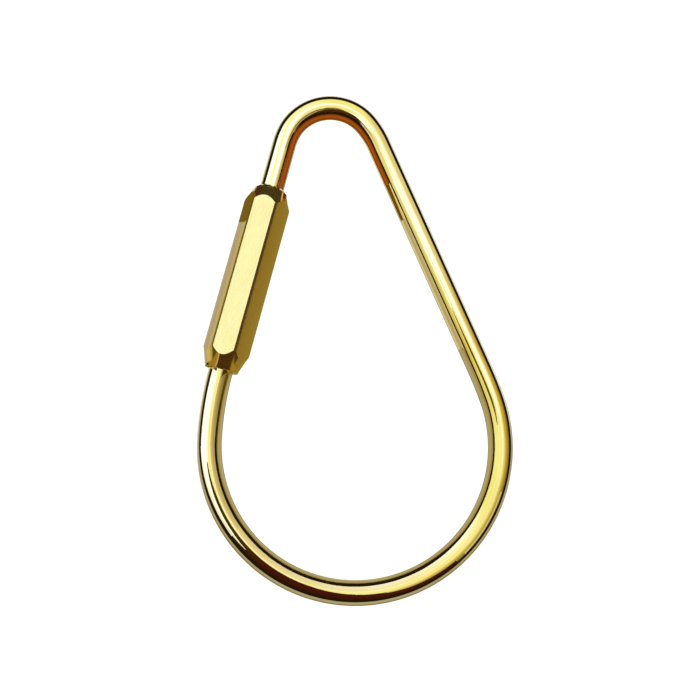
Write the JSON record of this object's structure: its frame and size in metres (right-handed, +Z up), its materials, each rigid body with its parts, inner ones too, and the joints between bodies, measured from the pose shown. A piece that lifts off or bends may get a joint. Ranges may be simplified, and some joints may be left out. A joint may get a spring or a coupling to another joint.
{
  "type": "key ring carabiner",
  "caption": "Teardrop loop of round brass rod that hangs by its narrow top bend, closed by a spring-loaded hexagonal sleeve that slides up to let keys on and off.",
  "frame": {"origin": "centre of the top bend, on the rod's centreline plane: the axis of a round hook that fills the bend", "axes": "+Z up as the ring hangs from its top bend, +X to the right and -Y towards the viewer in the picture's view; the rod's centreline lies in the XZ plane, and the left leg with its sleeve leans 14.5 degrees from +Z towards +X. The centre of mass lies about 1 degree off the plumb line through the origin, so this is how the ring hangs freely"},
  "size_m": [0.0506, 0.007, 0.084],
  "materials": {
    "rod_brass": "polished",
    "sleeve_brass": "polished flats with fine lengthwise drawing lines",
    "bush_brass": "turned, polished",
    "collar_steel": "turned stainless steel",
    "pin_steel": "ground stainless steel",
    "spring_steel": "drawn stainless spring wire",
    "washer_brass": "stamped"
  },
  "bodies": {
    "loop": {"rod_loop": "rod_brass", "stop_collar": "collar_steel", "collar_pin": "pin_steel", "return_spring": "spring_steel"},
    "spring_seat": {"thrust_washer": "washer_brass"},
    "sleeve": {"hex_sleeve": "sleeve_brass", "top_bush": "bush_brass"}
  },
  "joints": [
    {"name": "sleeve_slide", "type": "slide", "parent": "loop", "child": "spring_seat", "axis": [0.2504, 0, 0.9681], "range_m": [0, 0.007], "stiffness_N_per_m": 310, "springref_m": -0.004, "deforming": ["return_spring"]},
    {"name": "sleeve_spin", "type": "hinge", "parent": "spring_seat", "child": "sleeve", "pos_m": [-0.01366, 0, -0.02176], "axis": [0.2504, 0, 0.9681], "continuous": true}
  ]
}
